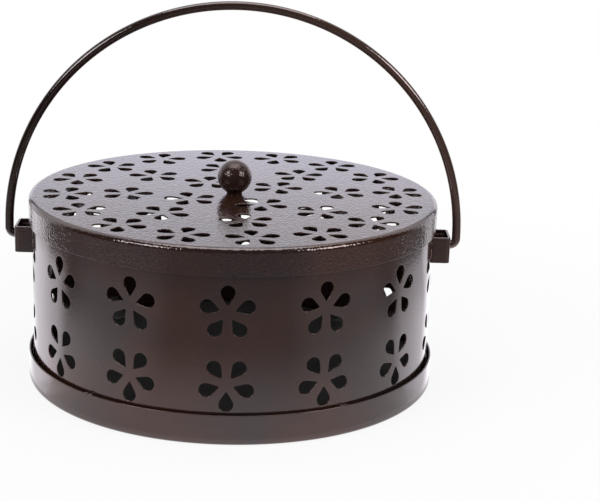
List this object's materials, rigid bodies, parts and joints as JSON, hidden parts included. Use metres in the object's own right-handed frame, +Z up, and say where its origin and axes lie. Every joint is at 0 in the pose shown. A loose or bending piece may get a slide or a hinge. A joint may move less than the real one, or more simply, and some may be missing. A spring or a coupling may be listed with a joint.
{
  "type": "incense coil burner",
  "caption": "Round sheet-metal incense coil burner with blossom piercing in wall and lid, a ball knob and a swinging wire handle",
  "frame": {"origin": "on the floor, under the centre of the box", "axes": "+Z up, +X to the right ear with the handle's pivots on the X axis, front of the box at -Y, seam of the wall at -X behind the left ear"},
  "size_m": [0.14, 0.125, 0.1154],
  "materials": {
    "bronze_paint": "dark bronze powder paint, semi-gloss with a fine orange-peel texture",
    "wire_paint": "dark bronze powder paint on round wire, semi-gloss",
    "bare_steel": "zinc-plated steel, dull",
    "glass_felt": "needled glass-fibre felt, matt and darkened by soot"
  },
  "bodies": {
    "box": {"base_pan": "bronze_paint", "wall_band": "bronze_paint", "weld_tack_1": "bronze_paint", "weld_tack_2": "bronze_paint", "weld_tack_3": "bronze_paint", "weld_tack_4": "bronze_paint", "weld_tack_5": "bronze_paint", "ear_left": "bronze_paint", "ear_right": "bronze_paint", "ear_weld_left_front": "bronze_paint", "ear_weld_left_back": "bronze_paint", "ear_weld_right_front": "bronze_paint", "ear_weld_right_back": "bronze_paint", "fireproof_mat": "glass_felt", "mat_clip_1": "bare_steel", "mat_clip_2": "bare_steel", "mat_clip_3": "bare_steel", "mat_clip_4": "bare_steel"},
    "bail": {"bail": "wire_paint"},
    "lid": {"lid_shell": "bronze_paint", "knob": "bronze_paint", "knob_screw": "bare_steel", "knob_washer": "bare_steel"}
  },
  "joints": [
    {"name": "bail_swing", "type": "hinge", "parent": "box", "child": "bail", "pos_m": [0, 0, 0.0425], "axis": [1, 0, 0], "range_deg": [-116, 116]},
    {"name": "lid_lift", "type": "slide", "parent": "box", "child": "lid", "axis": [0, 0, 1], "range_m": [0, 0.012]}
  ]
}
